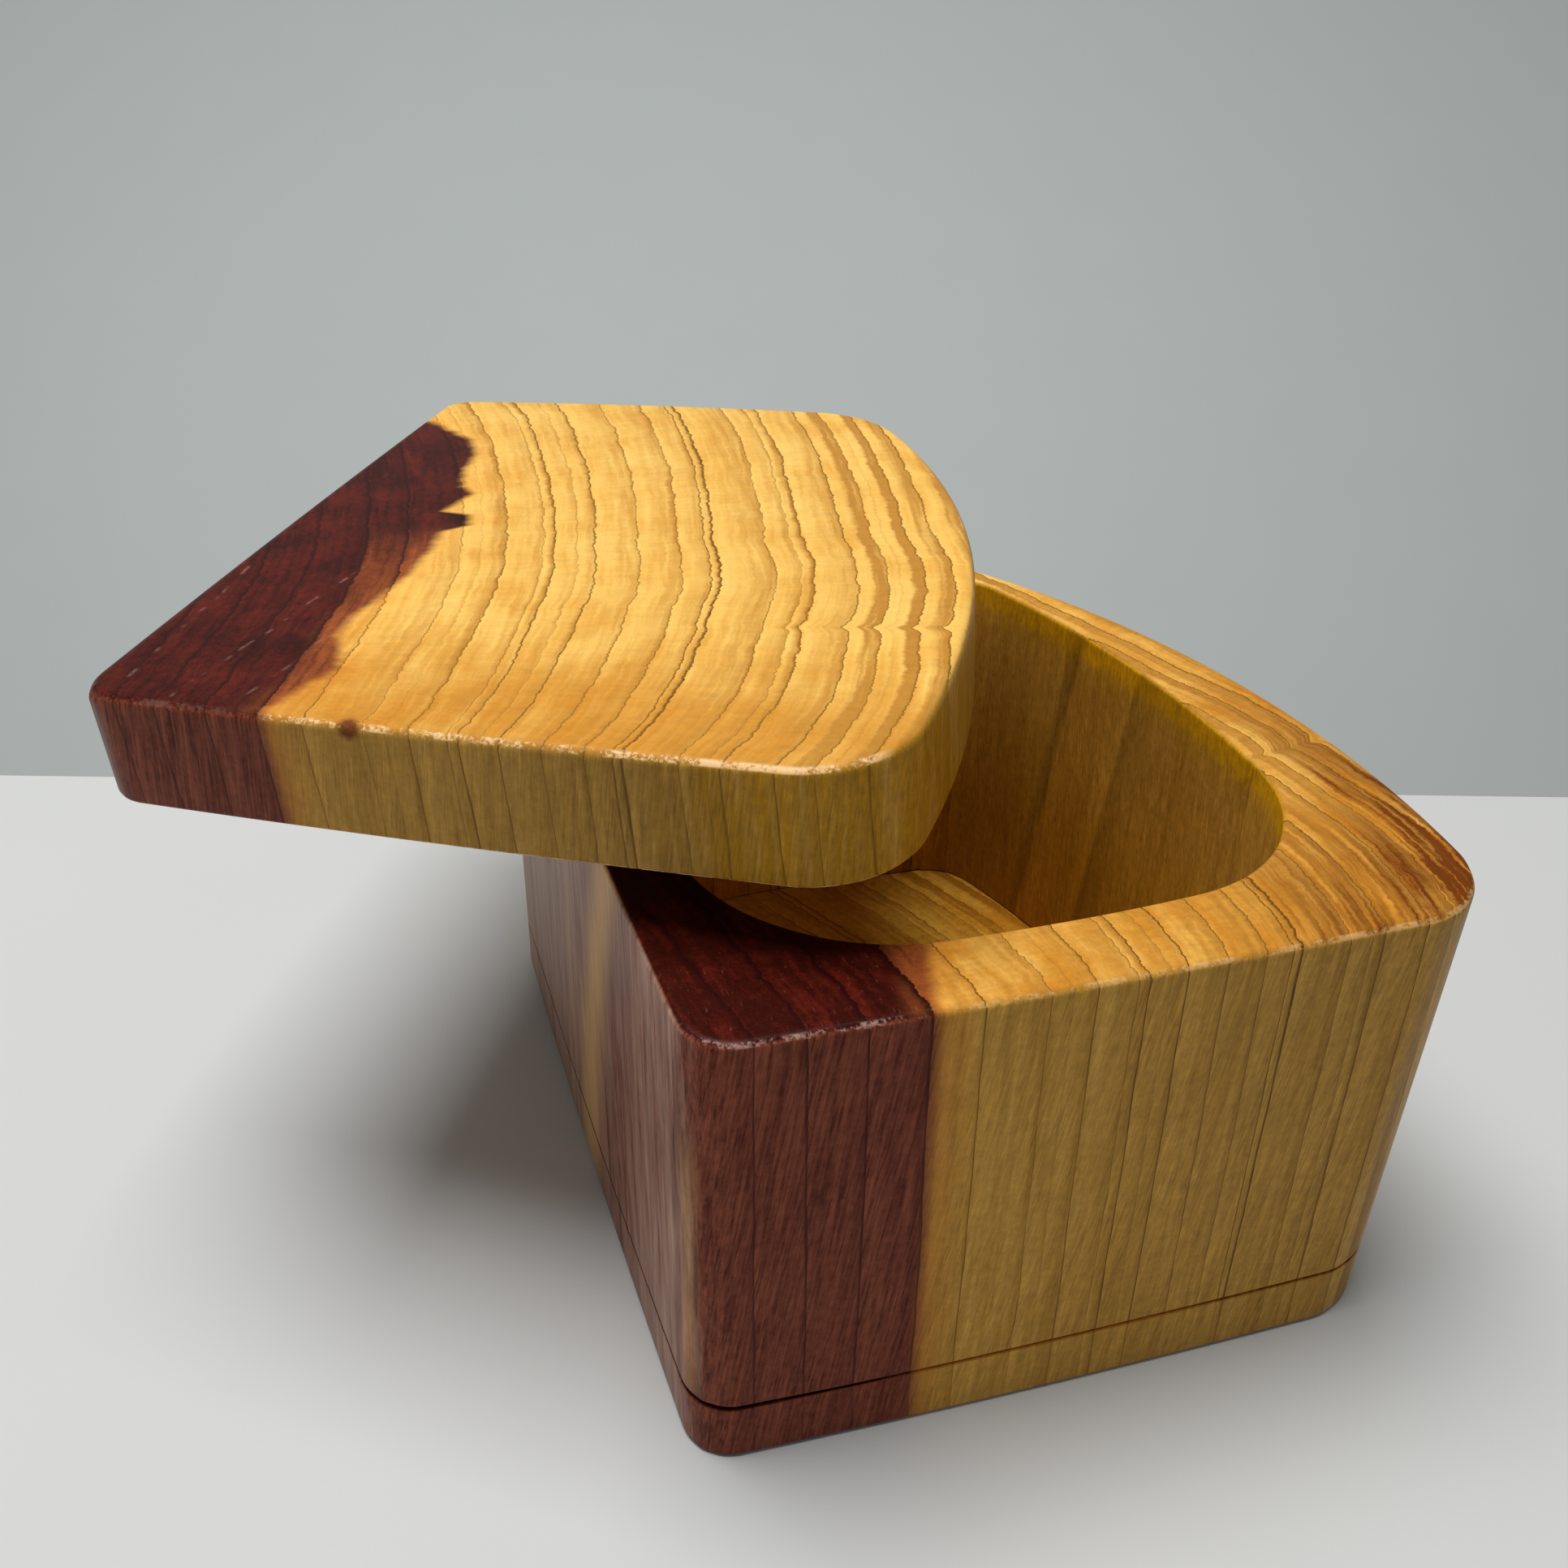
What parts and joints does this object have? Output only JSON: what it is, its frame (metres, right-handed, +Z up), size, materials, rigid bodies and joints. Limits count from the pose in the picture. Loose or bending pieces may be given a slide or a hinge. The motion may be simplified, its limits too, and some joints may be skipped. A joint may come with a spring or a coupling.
{
  "type": "keepsake box",
  "caption": "Free-form cedar keepsake box sawn from one block, with a hollow body, glued base and a loose plug lid lying askew on top.",
  "frame": {"origin": "middle of the body's underside, on the table", "axes": "+Z up; -Y is the side that the picture looks at, +X to its right"},
  "size_m": [0.1733, 0.1481, 0.0967],
  "materials": {
    "lid_wood": "satin",
    "body_wood": "satin",
    "base_wood": "satin",
    "core_wood": "matte"
  },
  "bodies": {
    "box": {"body": "body_wood", "base_slice": "base_wood"},
    "loose_lid": {"lid": "lid_wood", "lid_plug": "core_wood"}
  },
  "joints": [
    {"name": "lid_lift", "type": "slide", "parent": "box", "child": "loose_lid", "axis": [0, 0, 1], "range_m": [0, 0.09]}
  ]
}
